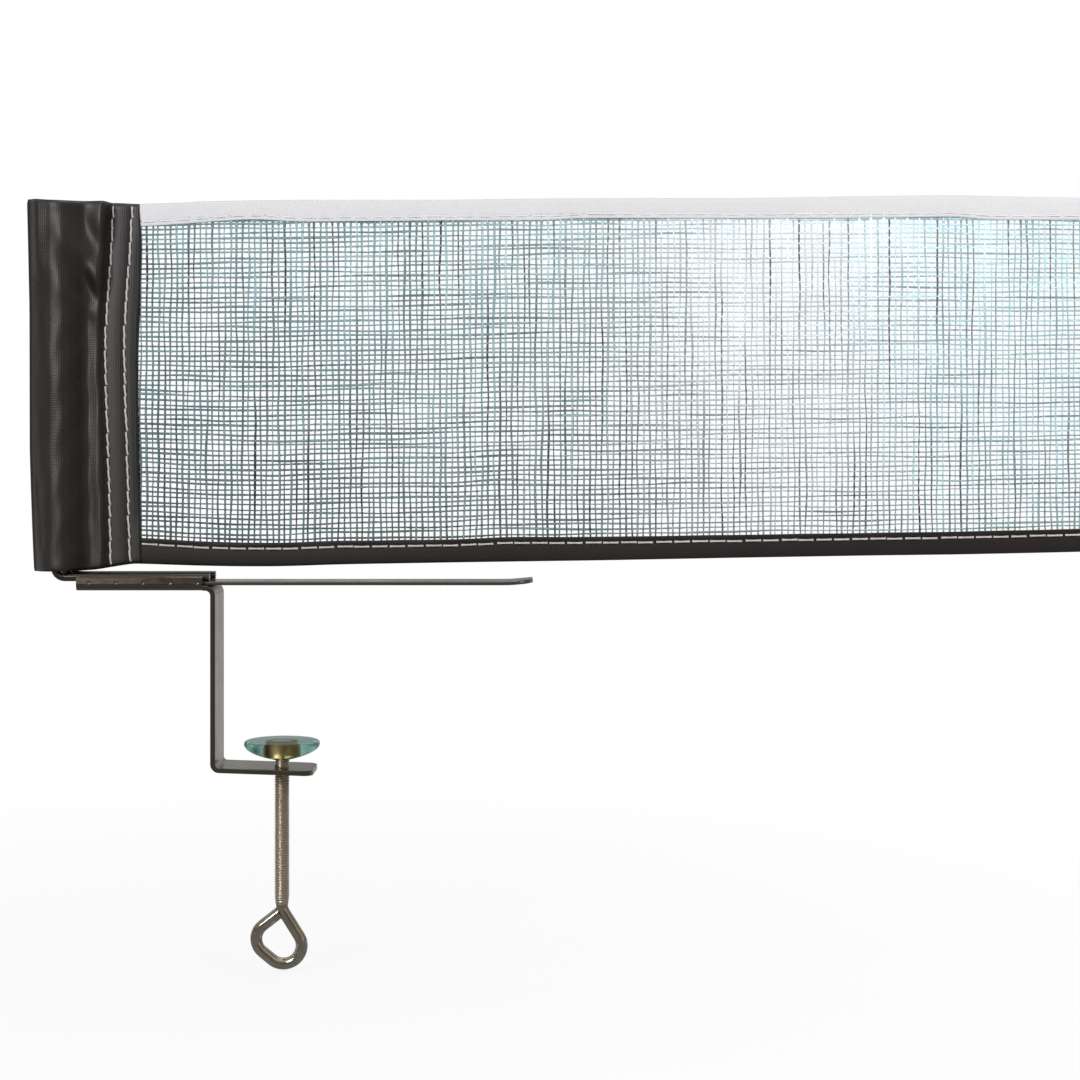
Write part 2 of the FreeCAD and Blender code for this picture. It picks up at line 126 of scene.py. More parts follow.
def points_of(piece):
    flat = np.empty(len(piece.data.vertices) * 3)
    piece.data.vertices.foreach_get("co", flat)
    return flat.reshape(-1, 3) / MM


def move_points(piece, points_mm):
    piece.data.vertices.foreach_set("co", (points_mm * MM).ravel())
    piece.data.update()


def belongs(piece, body, slot, *stands_for, finish=None):
    """Say which CAD body carries a piece, its finish and the CAD nodes that it stands for."""
    if finish:
        piece.data.materials.append(finish)
    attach(piece, body)
    if stands_for:
        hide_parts(*stands_for)
    return piece


print("helpers ready")

# %% [markdown]
# Node trees describe both the finishes and the repeated shapes. One function adds a node: its
# settings come as keywords, and its inputs as values, as sockets or as whole nodes, which stand for
# their first output. Hex colours are how a maker notes a colour down; Blender's shaders want linear
# light, so one function turns the one into the other.

# %% Helpers for node trees


def linear(hex_colour):
    """Linear colour with alpha from a hex colour as written on paper."""
    parts = [int(hex_colour[i:i + 2], 16) / 255 for i in (1, 3, 5)]
    return [p / 12.92 if p <= 0.04045 else ((p + 0.055) / 1.055) ** 2.4 for p in parts] + [1.0]


def add(tree, kind, *inputs, **settings):
    """A new node; an input is a value, a socket or a node, by its place or by name in a dict."""
    node = tree.nodes.new(kind)
    for name, value in settings.items():
        setattr(node, name, value)
    given = {}
    for place, value in enumerate(inputs):
        given.update(value if isinstance(value, dict) else {place: value})
    for name, value in given.items():
        if isinstance(value, bpy.types.Node):
            value = value.outputs[0]
        if isinstance(value, bpy.types.NodeSocket):
            tree.links.new(value, node.inputs[name])
        else:
            node.inputs[name].default_value = value
    return node


def start_finish(name):
    """A new material, its emptied tree and its object coordinates."""
    finish = bpy.data.materials.new(name)
    finish.use_nodes = True
    tree = finish.node_tree
    tree.nodes.clear()
    place = add(tree, "ShaderNodeTexCoord").outputs["Object"]
    return finish, tree, place


def end_finish(tree, shader):
    add(tree, "ShaderNodeOutputMaterial", {"Surface": shader})


def set_stops(ramp, stops):
    """Give a colour ramp these (share, hex colour) stops."""
    elements = ramp.color_ramp.elements
    for number, (share, colour) in enumerate(stops):
        if number > 1:
            elements.new(share)
        elements[number].position = share
        elements[number].color = linear(colour)


def mottled(tree, place, size_mm, one, other, **detail):
    """Noise in spots of size_mm, and a colour that wanders with it between two hex colours."""
    noise = add(tree, "ShaderNodeTexNoise", {
        "Vector": place, "Scale": 1 / (size_mm * MM), **detail})
    tint = add(tree, "ShaderNodeMix", {
        "Factor": noise, "A": linear(one), "B": linear(other)}, data_type="RGBA").outputs["Result"]
    return noise, tint


print("node helpers ready")

# %% [markdown]
# Plated steel: the strap, the jaw plate, the wire and the screw are mild steel, cut, bent and then
# nickel or zinc plated in a barrel. Barrel plating leaves a bright skin over the rolled surface, so
# reflections are clear but a little wavy, with faint cloudy spots. A metallic shader with low
# roughness gives the mirror, a fine noise bends the reflection, and a wider one makes the clouds.

# %% Plated steels


def plated_metal(name, bright, dull, roughness, cloud_mm, grain_mm, bump_strength):
    finish, tree, place = start_finish(name)
    clouds, tint = mottled(tree, place, cloud_mm, bright, dull, Detail=3.0, Roughness=0.6)
    spread = add(tree, "ShaderNodeMapRange", {
        "Value": clouds, "From Min": 0.3, "From Max": 0.7, "To Min": roughness * 0.8,
        "To Max": roughness * 1.3})
    grain = add(tree, "ShaderNodeTexNoise", {"Vector": place, "Scale": 1 / (grain_mm * MM)})
    relief = add(tree, "ShaderNodeBump", {
        "Height": grain, "Distance": 0.02 * MM, "Strength": bump_strength})
    shader = add(tree, "ShaderNodeBsdfPrincipled", {
        "Base Color": tint, "Roughness": spread, "Metallic": 1.0, "Normal": relief})
    end_finish(tree, shader)
    return finish


# Barrel nickel on rolled strip: warm grey mirror, a little wavy from the bending.
strap_nickel = plated_metal("strap_nickel", "#7B746A", "#625C54", 0.18, 9.0, 1.2, 0.3)
# The jaw plate is flat rolled strip, so its mirror is calmer and a little cooler.
plate_nickel = plated_metal("plate_nickel", "#8A8884", "#716F6B", 0.22, 12.0, 1.5, 0.25)
# Rivet heads are pressed and burnished by the rivet set.
rivet_nickel = plated_metal("rivet_nickel", "#A19C94", "#88837C", 0.18, 3.0, 0.8, 0.3)
# The wire's nickel is darker: painted shade from the sleeve that hangs over it.
wire_nickel_painted_shade = plated_metal("wire_nickel_painted_shade", "#6B6762", "#4F4C48", 0.18, 5.0, 0.9, 0.2)
# The screw's thread holds a trace of grease and looks browner; its eye is polished by many hands.
thread_nickel = plated_metal("thread_nickel", "#D9CFBF", "#B6AC9A", 0.38, 4.0, 0.9, 0.35)
eye_nickel = plated_metal("eye_nickel", "#D3CCC0", "#948D82", 0.1, 4.0, 1.6, 0.5)
# Yellow passivated zinc on the socket: dull gold with darker clouds.
socket_zinc = plated_metal("socket_zinc", "#F4BC88", "#CF9662", 0.36, 3.0, 0.6, 0.4)
print("plated finishes:", [m.name for m in bpy.data.materials if "nickel" in m.name])

# %% Put the finishes on the metal nodes
for node_name, metal in (
        ("clamp_strap", strap_nickel), ("upper_jaw_plate", plate_nickel),
        ("plate_rivets", rivet_nickel), ("post_wire", wire_nickel_painted_shade), ("pad_socket", socket_zinc)):
    if not nodes[node_name].material_slots:
        nodes[node_name].data.materials.append(metal)
    for holder in nodes[node_name].material_slots:
        holder.material = metal
print("metal nodes dressed")

# %% [markdown]
# The pad cap is soft clear vinyl, moulded in a teal tint, so that it doesn't mark the table. Light
# goes in and comes out coloured on the far side, so the yellow socket shows inside. Full
# transmission with a polished but slightly hazy skin gives the clear look; the colour is a tint,
# deepest where light crosses most walls. Vinyl bends light by about 1.5, but the photo's cap hardly
# magnifies its socket, so the bend is set as low as it looks there.

# %% Teal vinyl of the pad cap
cap_vinyl, tree, place = start_finish("teal_vinyl")
haze = add(tree, "ShaderNodeTexNoise", {"Vector": place, "Scale": 1 / (2.5 * MM)})
milkiness = add(tree, "ShaderNodeMapRange", {"Value": haze, "To Min": 0.08, "To Max": 0.2})
shader = add(tree, "ShaderNodeBsdfPrincipled", {
    "Base Color": linear("#86B5AE"), "Roughness": milkiness, "IOR": 1.14,
    "Transmission Weight": 1.0})
end_finish(tree, shader)
print("finish", cap_vinyl.name, "ready")

# %% [markdown]
# Cloth finishes. The sleeve is a plain weave nylon, coated on the inside, near black with a soft
# sheen. The tape is bleached cotton, the hem a black nylon ribbon. A real weave has 1.5 to 3
# threads in each millimetre, which is finer than a picture of this object can show, so the weave
# here is drawn about twice as coarse. Two crossed wave textures raise the threads; noise fades and
# stains them a little.

# %% Woven cloth finishes
BAND_PITCH = 0.314  # between the bands of a wave texture whose scale is 1


def woven_cloth(name, colour, worn, roughness, thread_mm, stain_mm, sheen, depth_mm, specular=0.3):
    finish, tree, place = start_finish(name)
    ribs = []
    for way in ("X", "Z"):
        wave = add(tree, "ShaderNodeTexWave", {
            "Vector": place, "Scale": BAND_PITCH / (thread_mm * MM), "Distortion": 0.6,
            "Detail": 1.0}, bands_direction=way)
        ribs.append(wave.outputs["Fac"])
    weave = add(tree, "ShaderNodeMath", *ribs, operation="MULTIPLY")
    tint = mottled(tree, place, stain_mm, colour, worn, Detail=4.0, Roughness=0.65)[1]
    shade = add(tree, "ShaderNodeMapRange", {"Value": weave, "To Min": 0.9, "To Max": 1.06})
    threads = add(tree, "ShaderNodeVectorMath", tint, {"Scale": shade}, operation="SCALE")
    relief = add(tree, "ShaderNodeBump", {
        "Height": weave, "Distance": depth_mm * MM, "Strength": 0.6})
    shader = add(tree, "ShaderNodeBsdfPrincipled", {
        "Base Color": threads, "Roughness": roughness, "Specular IOR Level": specular,
        "Sheen Weight": sheen, "Sheen Roughness": 0.4, "Normal": relief})
    end_finish(tree, shader)
    return finish


# Coated nylon: charcoal, with a soft shine that picks out the folds.
sleeve_nylon = woven_cloth("charcoal_nylon", "#151211", "#1E1A19", 0.47, 0.9, 14.0, 0.0, 0.08, 0.65)
# Bleached cotton tape: matt, faintly blue white.
tape_cotton = woven_cloth("white_cotton_tape", "#E0DFE2", "#D6D5D8", 0.85, 1.0, 20.0, 0.1, 0.1)
# Nylon ribbon of the hem: brown black, a little shine.
hem_nylon = woven_cloth(
    "black_nylon_ribbon", "#1A1615", "#252120", 0.55, 1.0, 12.0, 0.02, 0.1, 0.38)
print("cloths:", sleeve_nylon.name, tape_cotton.name, hem_nylon.name)

# %% [markdown]
# Thread finishes. The net is woven from teal polyester thread; the seams are sewn with a thicker
# off-white thread and the tape with a white one. A thread is many twisted fibres, so it is matt,
# and its twist shows as fine slanted bands, drawn here with a wave at the pitch of the twist. The
# net's colour is darkest at the sleeve and palest past its middle, partly real fading and partly
# painted light, with the palest band a painted highlight. It is also darker towards the hem and
# lighter towards the tape: painted shade, as light falls from above.

# %% Thread finishes
net_from, net_to = -36 * MM, 349 * MM
net_foot, net_top = 15 * MM, 150 * MM


def uneven_tint(tree, place, colour, worn):
    """A colour that wanders between two tints in small spots."""
    return mottled(tree, place, 6.0, colour, worn, Detail=3.0)[1]


def net_fade_and_painted_light_tint(tree, place, fade_and_light_stops):
    """Colour that fades along the net, with a painted highlight, painted shade near the hem and
    wear.
    """
    spot = add(tree, "ShaderNodeSeparateXYZ", place).outputs
    # Painted light: the colour along the net is partly real fading, and its palest band is a
    # painted highlight.
    length = add(tree, "ShaderNodeMapRange", {
        "Value": spot["X"], "From Min": net_from, "From Max": net_to})
    ramp = add(tree, "ShaderNodeValToRGB", length)
    set_stops(ramp, fade_and_light_stops)
    # Painted shade: the colour darkens towards the hem and brightens towards the tape, as light
    # falls from above.
    height = add(tree, "ShaderNodeMapRange", {
        "Value": spot["Z"], "From Min": net_foot, "From Max": net_top, "To Min": 0.55,
        "To Max": 1.4})
    worn = add(tree, "ShaderNodeAttribute", attribute_name="worn").outputs["Fac"]
    shade = add(tree, "ShaderNodeMath", height, worn, operation="MULTIPLY")
    return add(tree, "ShaderNodeVectorMath", ramp, {"Scale": shade}, operation="SCALE")


def spun_thread(name, twist_mm, roughness, tint_of, *tint_values):
    finish, tree, place = start_finish(name)
    slant = add(tree, "ShaderNodeMapping", {"Vector": place, "Rotation": (0.6, 0.4, 0.7)})
    twist = add(tree, "ShaderNodeTexWave", {
        "Vector": slant, "Scale": BAND_PITCH / (twist_mm * MM), "Distortion": 0.3})
    relief = add(tree, "ShaderNodeBump", {
        "Height": twist.outputs["Fac"], "Distance": 0.05 * MM, "Strength": 0.5})
    shader = add(tree, "ShaderNodeBsdfPrincipled", {
        "Base Color": tint_of(tree, place, *tint_values), "Roughness": roughness,
        "Sheen Weight": 0.1, "Specular IOR Level": 0.3, "Normal": relief})
    end_finish(tree, shader)
    return finish


# Colours along the net, partly real fading and partly painted light; the palest stops are a painted
# highlight.
net_fade_and_highlight_stops = [
    (0.0, "#6A8387"), (0.27, "#819A9E"), (0.47, "#8FA4A8"), (0.62, "#BBC8CE"), (0.72, "#BBCAD0"),
    (0.84, "#A3BFC6")]
net_polyester = spun_thread("teal_polyester_thread", 0.5, 0.7, net_fade_and_painted_light_tint, net_fade_and_highlight_stops)
seam_cotton = spun_thread("off_white_sewing_thread", 0.8, 0.8, uneven_tint, "#CEC7C3", "#AFA8A6")
tape_thread = spun_thread("white_sewing_thread", 0.8, 0.8, uneven_tint, "#E8E7EA", "#DCDBDE")
print("threads:", net_polyester.name, seam_cotton.name, tape_thread.name)

# %% [markdown]
# How the cloth hangs. The net is stretched between its tape and its hem, but neither edge is quite
# straight: the tape dips where the sleeve holds it, the hem rises towards the far end. Tape, hem,
# net and their stitches must all agree, so one set of edge lines is written down here, in
# millimetres along the net, and each piece reads its place from it.

# %% Edge lines of the cloth
net_start, net_stop = ((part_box(node)[1] / MM).x for node in ("net_sleeve", "top_tape"))

tape_edge = soft_line([
    (-36, 152), (-20, 152.7), (-4, 153.4), (22, 153.8), (90, 153.8), (128, 154.2), (205, 154.4),
    (244, 155.1), (277, 155.6), (292, 155.6), (311, 155.1), (349, 154.7)], 10)
tape_foot = soft_line([
    (-36, 143.2), (-20, 144.1), (-6, 145.3), (10, 146.2), (28, 145.1), (80, 145.6), (128, 145.6),
    (140, 146.4), (205, 146.4), (270, 146.8), (292, 147.2), (303, 145.9), (349, 145.9)], 5)
selvedge = soft_line([
    (-36, 143.6), (-10, 144.4), (28, 144.9), (80, 145.4), (140, 146), (205, 146.2), (270, 146.5),
    (303, 145.9), (349, 145.9)], 16)
hem_edge = soft_line([
    (-36, 8.4), (-16, 7.6), (3, 7.2), (22, 7.2), (42, 8), (90, 8.8), (148, 9.6), (205, 10.8),
    (254, 11.6), (292, 12), (330, 12.8), (349, 13.3)], 10)
hem_top = soft_line([
    (-36, 18.5), (-16, 17.2), (3, 16.4), (22, 16.4), (42, 17.2), (90, 17.7), (109, 18.7),
    (148, 18.8), (225, 20), (292, 20.9), (349, 22.2)], 8)


def sway(x, z):
    """How far the net stands behind the middle plane."""
    free = ease(x, net_start, net_start + 60)
    return free * (0.9 * np.sin(x / 52 + z / 90) + 0.5 * np.sin(x / 23 - z / 40 + 2))


print("net runs from", round(net_start, 1), "to", round(net_stop, 1), "mm")

# %% [markdown]
# The net itself. On the real object about 160 upright threads cross about 70 level ones, each
# passing over and under the next. Thousands of crossings follow one simple rule, so Geometry Nodes
# make them: a flat grid has one point for each crossing. Noise moves the points a little, as a
# slack weave does, then the grid's edges are parted into upright and level threads, which rise and
# dip at every second crossing in opposite ways. The mesh is then laid on the edge lines.

# %% Tree for crossed threads


def start_tree(name, lengths, counts=()):
    """A Geometry Nodes tree with named inputs, the material among them, and their sockets."""
    tree = bpy.data.node_groups.new(name, "GeometryNodeTree")
    tree.interface.new_socket("Geometry", in_out="OUTPUT", socket_type="NodeSocketGeometry")
    for kind, labels in (
            ("Geometry", ["Geometry"]), ("Float", lengths), ("Int", counts),
            ("Material", ["Material"])):
        for label in labels:
            tree.interface.new_socket(label, in_out="INPUT", socket_type="NodeSocket" + kind)
    return tree, add(tree, "NodeGroupInput").outputs


def end_tree(tree, shape, material):
    whole = add(tree, "GeometryNodeRealizeInstances", shape)
    dressed = add(tree, "GeometryNodeSetMaterial", {"Geometry": whole, "Material": material})
    add(tree, "NodeGroupOutput", dressed)
    print("tree", tree.name, "has", len(tree.nodes), "nodes")
    return tree


def run_tree(piece, tree, **sizes):
    """Give a piece the tree with these sizes, and turn the result into its plain mesh."""
    step = piece.modifiers.new(tree.name, "NODES")
    step.node_group = tree
    for item in tree.interface.items_tree:
        if item.in_out == "INPUT" and item.name in sizes:
            step[item.identifier] = sizes[item.name]
    mesh = plain_mesh(piece)
    piece.modifiers.clear()
    piece.data = mesh


def noise_between(tree, stretch, size_mm, low, high):
    """Noise between two values, in spots of size_mm that are pulled out along the stretch."""
    spot = add(tree, "GeometryNodeInputPosition")
    pulled = add(tree, "ShaderNodeVectorMath", spot, stretch, operation="MULTIPLY")
    noise = add(tree, "ShaderNodeTexNoise", {
        "Vector": pulled, "Scale": 1 / (size_mm * MM), "Detail": 1.0})
    return add(tree, "ShaderNodeMapRange", {
        "Value": noise, "From Min": 0.3, "From Max": 0.7, "To Min": low, "To Max": high})


tree, sizes = start_tree("crossed_threads", [
    "Width", "Height", "Thread Radius", "Thin Share", "Stray", "Lift"], ["Uprights", "Levels"])
plane = add(tree, "GeometryNodeMeshGrid", {
    "Size X": sizes["Width"], "Size Y": sizes["Height"], "Vertices X": sizes["Uprights"],
    "Vertices Y": sizes["Levels"]})
ends = add(tree, "GeometryNodeInputMeshEdgeVertices").outputs
run = add(
    tree, "ShaderNodeVectorMath", ends["Position 2"], ends["Position 1"], operation="SUBTRACT")
parts = add(tree, "ShaderNodeSeparateXYZ", run).outputs
across = add(tree, "ShaderNodeMath", parts["X"], operation="ABSOLUTE")
upward = add(tree, "ShaderNodeMath", parts["Y"], operation="ABSOLUTE")
is_level = add(tree, "ShaderNodeMath", across, upward, operation="GREATER_THAN")
is_upright = add(tree, "ShaderNodeMath", 1.0, is_level, operation="SUBTRACT")
print("tree", tree.name, "parts its threads")

# %% Crossings of the threads
number = add(tree, "GeometryNodeInputIndex")
column = add(tree, "ShaderNodeMath", number, sizes["Levels"], operation="DIVIDE")
whole_column = add(tree, "ShaderNodeMath", column, operation="FLOOR")
row = add(tree, "ShaderNodeMath", number, sizes["Levels"], operation="MODULO")
steps_to = add(tree, "ShaderNodeMath", whole_column, row, operation="ADD")
turned_to = add(tree, "ShaderNodeMath", steps_to, math.pi, operation="MULTIPLY")
over_under = add(tree, "ShaderNodeMath", turned_to, operation="COSINE")
marked = add(tree, "GeometryNodeStoreNamedAttribute", {
    "Geometry": plane, "Name": "over", "Value": over_under})
aside = noise_between(tree, (1.0, 0.09, 1.0), 2.6, -1.0, 1.0)
upwards = noise_between(tree, (0.06, 1.0, 1.0), 2.2, -1.0, 1.0)
stray_way = add(tree, "ShaderNodeCombineXYZ", {"X": aside, "Y": upwards})
stray_by = add(tree, "ShaderNodeVectorMath", stray_way, {
    "Scale": sizes["Stray"]}, operation="SCALE")
strayed = add(tree, "GeometryNodeSetPosition", {"Geometry": marked, "Offset": stray_by})
print("tree", tree.name, "marks its crossings")

# %% Round threads along the grid
over = add(tree, "GeometryNodeInputNamedAttribute", {"Name": "over"})
section = add(tree, "GeometryNodeCurvePrimitiveCircle", {
    "Resolution": 4, "Radius": sizes["Thread Radius"]})
place = add(tree, "GeometryNodeInputPosition")
spot = add(tree, "ShaderNodeSeparateXYZ", place).outputs
# Threads thin out away from the sleeve, and the rows at the tape are a thick selvedge.
thinning = add(tree, "ShaderNodeMapRange", {
    "Value": spot["X"], "From Min": -20 * MM, "From Max": 60 * MM, "To Min": 1.0,
    "To Max": sizes["Thin Share"]})
selvedge_thick = add(tree, "ShaderNodeMapRange", {
    "Value": spot["Y"], "From Min": 60.4 * MM, "From Max": 61.0 * MM, "To Min": 1.0, "To Max": 1.7})
slender = add(tree, "ShaderNodeMath", thinning, selvedge_thick, operation="MULTIPLY")
# Noise makes each thread thicker and thinner along its way, and says how much it has faded.
both = add(tree, "GeometryNodeJoinGeometry")
for chosen, way, stretch, pale, dark in (
        (is_level, 1.0, (0.045, 1.0, 1.0), 1.5, 0.5),
        (is_upright, -1.0, (1.0, 0.03, 1.0), 1.85, 0.15)):
    line = add(tree, "GeometryNodeMeshToCurve", {"Mesh": strayed, "Selection": chosen})
    signed = add(tree, "ShaderNodeMath", over, way, operation="MULTIPLY")
    rise = add(tree, "ShaderNodeMath", signed, sizes["Lift"], operation="MULTIPLY")
    offset = add(tree, "ShaderNodeCombineXYZ", {"Z": rise})
    waved = add(tree, "GeometryNodeSetPosition", {"Geometry": line, "Offset": offset})
    thick = noise_between(tree, stretch, 1.6, 0.56, 1.4)
    scale = add(tree, "ShaderNodeMath", thick, slender, operation="MULTIPLY")
    tube = add(tree, "GeometryNodeCurveToMesh", {
        "Curve": waved, "Profile Curve": section, "Scale": scale, "Fill Caps": True})
    worn = noise_between(tree, stretch, 2.3, pale, dark)
    kept = add(tree, "GeometryNodeStoreNamedAttribute", {
        "Geometry": tube, "Name": "worn", "Value": worn})
    tree.links.new(kept.outputs[0], both.inputs[0])
crossed_threads = end_tree(tree, both, sizes["Material"])

# %% Lay the net on the edge lines
uprights, upright_step = 162, 2.40
levels, level_step = 71, 1.97
dense_rows, dense_step = 4, 0.8
inside_hem, inside_end = 2.6, 0.6
net_width = (uprights - 1) * upright_step
open_height = (levels - 1 - dense_rows) * level_step
net_cloth = make_piece("net_cloth", [(0, 0, 0)], [])
run_tree(
    net_cloth, crossed_threads, Width=net_width * MM, Height=(levels - 1) * level_step * MM,
    Uprights=uprights, Levels=levels, Stray=0.42 * MM, Lift=0.24 * MM, Material=net_polyester,
    **{"Thread Radius": 0.37 * MM, "Thin Share": 0.84})
flat = points_of(net_cloth)
x = net_stop - inside_end - net_width / 2 + flat[:, 0]
up = flat[:, 1] + (levels - 1) * level_step / 2
low = hem_top(x) - inside_hem
z = np.where(
    up < open_height, low + (selvedge(x) - low) * up / open_height,
    selvedge(x) + (up - open_height) * dense_step / level_step)
move_points(net_cloth, np.stack([x, sway(x, z) - flat[:, 2], z], axis=1))
belongs(net_cloth, "net", "net_cord", "net_mesh")
print("net:", len(net_cloth.data.polygons), "faces, x", round(x.min(), 1), "to", round(x.max(), 1))

# %% [markdown]
# Tape and hem are narrow woven bands, folded over the net's edge and sewn through. A band is best
# made as one sheet: a row of points goes up the front, round the fold and down the back, and is
# repeated along the net. The free edges flutter a little and the sewn row pulls the cloth in, which
# is what the eye looks for in sewn cloth. Solidify then gives the sheet its real thickness.

# %% Folded bands


def thicken(sheet, wall_mm, offset):
    skin = sheet.modifiers.new("thickness", "SOLIDIFY")
    skin.thickness = wall_mm * MM
    skin.offset = offset


tucked_in = 2.4  # how far tape and hem run on into the sleeve
flat_steps, fold_turns = 9, (-90, -45, 0, 45, 90)
puffed_by, flared_by, pulled_by, stitch_dent = 0.22, 0.35, 0.12, 0.8


def folded_band(name, edge, cut, half, wall, sewn_in):
    """A band folded over the line edge(x), cut along the line cut(x) and sewn inside that."""
    xs = np.arange(net_start - tucked_in, net_stop + 0.01, 2.0)
    top, height = edge(xs), np.abs(cut(xs) - edge(xs))
    fold_up = np.sign(edge(xs) - cut(xs))
    behind = sway(xs, top)
    sewn_at = height - sewn_in

    def flat_rows(side):
        """Rows of points from the fold to the cut, in front (side -1) or behind (side 1)."""
        for share in np.arange(1, flat_steps + 1) / flat_steps:
            drop = half + share * (height - half)
            puff = puffed_by * np.sin(np.pi * np.minimum(1, drop / sewn_at))
            flare = flared_by * (drop - sewn_at) * (0.6 + 0.4 * np.sin(xs / 6 + side))
            pull = pulled_by * swell(drop, sewn_at, stitch_dent)
            out = half + np.where(drop < sewn_at, puff, flare) - pull
            yield xs, behind + side * out, top - fold_up * drop

    fold = [
        (xs, behind + half * math.sin(turn), top - fold_up * half * (1 - math.cos(turn)))
        for turn in np.radians(fold_turns)]
    rows = list(flat_rows(-1))[::-1] + fold + list(flat_rows(1))
    band = make_piece(
        name, np.array(rows).transpose(2, 0, 1).reshape(-1, 3), grid_faces(len(xs), len(rows)))
    thicken(band, wall, 0)
    return band


tape_half, tape_sewn_in = 0.62, 1.6
hem_half, hem_sewn_in = 0.68, 2.3
top_tape = folded_band("top_tape_cloth", tape_edge, tape_foot, tape_half, 0.35, tape_sewn_in)
belongs(top_tape, "net", "tape_cotton", "top_tape", finish=tape_cotton)
hem_band = folded_band("bottom_hem_cloth", hem_edge, hem_top, hem_half, 0.45, hem_sewn_in)
belongs(hem_band, "net", "hem_nylon", "bottom_hem", finish=hem_nylon)
print("bands:", len(top_tape.data.polygons), "and", len(hem_band.data.polygons), "faces")

# %% [markdown]
# The sleeve is one piece of nylon, folded round the wire post and sewn to the net's end by two rows
# of stitches. It could be simulated, but its shape is set by a few known things: the two wires push
# it out to ridges, the fold and the seam pull it flat, and the slack between them falls into
# slanting folds. So its depth is written as a profile with long soft folds added, front and back
# each its own.

# %% Depth of the sleeve
wire_low, wire_high = (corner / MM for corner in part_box("post_wire"))
wire_radius, air_over_wire = 1.6, 0.15
wire_x = wire_low.x + wire_radius
wire_y = wire_high.y - wire_radius
sleeve_wall = 0.45
blend = 0.5
fold_tip, inner_row, outer_row = -78.95, -46.9, -39.2

profile = soft_line([
    (-80, 0.5), (-79, 1.2), (-77.9, 3.2), (-75, 6.7), (-72, 9.4), (-69.4, 10.8), (-66.8, 11.3),
    (-64.8, 11.2), (-62.6, 10.1), (-59.6, 7), (-57.6, 4.6), (-56.2, 3.5), (-54.8, 3.2),
    (-52.6, 3.6), (-50.4, 4.1), (-49.5, 4), (-48.3, 2.2), (-47.2, 1.3), (-34, 1.3)], 0.7)


def long_fold(x, z, start, end, width, height):
    """A soft ridge (or hollow, when height is negative) along the line from start to end."""
    line = np.array(end, float) - np.array(start, float)
    length = np.hypot(*line)
    along = ((x - start[0]) * line[0] + (z - start[1]) * line[1]) / length
    off = ((x - start[0]) * line[1] - (z - start[1]) * line[0]) / length
    ends = ease(along, -width, 3 * width) * (1 - ease(along, length - 3 * width, length + width))
    return height * ends * np.exp(-(off / width) ** 2)


front_folds = [
    ((-67, 144), (-46, 114.5), 4, 2.3), ((-66.5, 119.5), (-47, 105), 3.4, 0.9),
    ((-50, 158), (-49.6, 134), 6, 2.4), ((-64, 153.5), (-46, 128.5), 3.4, -1),
    ((-67, 132.5), (-46, 109), 3.4, -0.9), ((-51, 70), (-50.8, 8), 2.8, 0.3),
    ((-75.5, 160), (-75, 122), 2.6, 1.5),
    ((-64, 92), (-55, 84), 2.2, 0.5), ((-63, 40), (-55, 30), 2.4, 0.4),
    ((-63, 16), (-54, 9), 2.2, 0.6), ((-76, 44), (-74, 12), 1.5, -0.4),
]
back_folds = [
    ((-63, 140), (-50, 124), 2.4, 1.1), ((-65, 126), (-51, 110), 2.2, -0.8),
    ((-58, 96), (-56.5, 24), 3.2, -0.9), ((-52, 88), (-51.6, 22), 2, 0.8),
    ((-64, 70), (-54, 58), 2.4, 0.6), ((-75, 120), (-74, 30), 1.6, -0.5),
    ((-64, 20), (-52, 10), 2.4, 0.6),
]


def sleeve_depth(x, z, side):
    """Distance of the sleeve's skin from the middle plane; side is -1 in front and 1 behind."""
    depth = profile(x)
    between_sewn_edges = ease(x, -79, -76) * (1 - ease(x, -49.0, -47.3))
    for fold in front_folds if side < 0 else back_folds:
        depth += long_fold(x, z, *fold) * between_sewn_edges
    if side < 0:  # the front's top is fuller between the wires and the seam
        depth += 3.6 * ease(x, -63.5, -54.5) * (1 - ease(x, -49.6, -47.3)) * ease(z, 96, 138)
    # Small ripples in the slack cloth, the flat strip beside the net, and the sewn rows.
    slack = ease(x, -78, -74) * (1 - ease(x, -52, -48))
    depth += slack * (0.18 * np.sin(z / 7.0 + x / 3.0) + 0.12 * np.sin(z / 3.1 - x / 2.0 + side))
    depth -= 0.35 * ease(x, -38.4, -36.2) * ease(z, 20, 28) * (1 - ease(z, 134, 142))
    puffed = 0.35 * swell(x, (inner_row + outer_row) / 2, 3.4)
    pulled = 0.28 * (swell(x, inner_row, 0.9) + swell(x, outer_row, 0.9))
    depth += puffed - pulled
    over_wire = wire_radius + sleeve_wall + air_over_wire
    reach = np.clip(over_wire ** 2 - (x - wire_x) ** 2, 0, None)
    cover = np.where(reach > 0, wire_y + np.sqrt(reach), 0)
    # The larger of the two, with a soft change from one to the other.
    return (depth + cover + np.sqrt((depth - cover) ** 2 + blend)) / 2


print(
    "sleeve ridge stands", round(float(sleeve_depth(np.array([wire_x]), 80.0, -1)[0]), 2), "mm out")

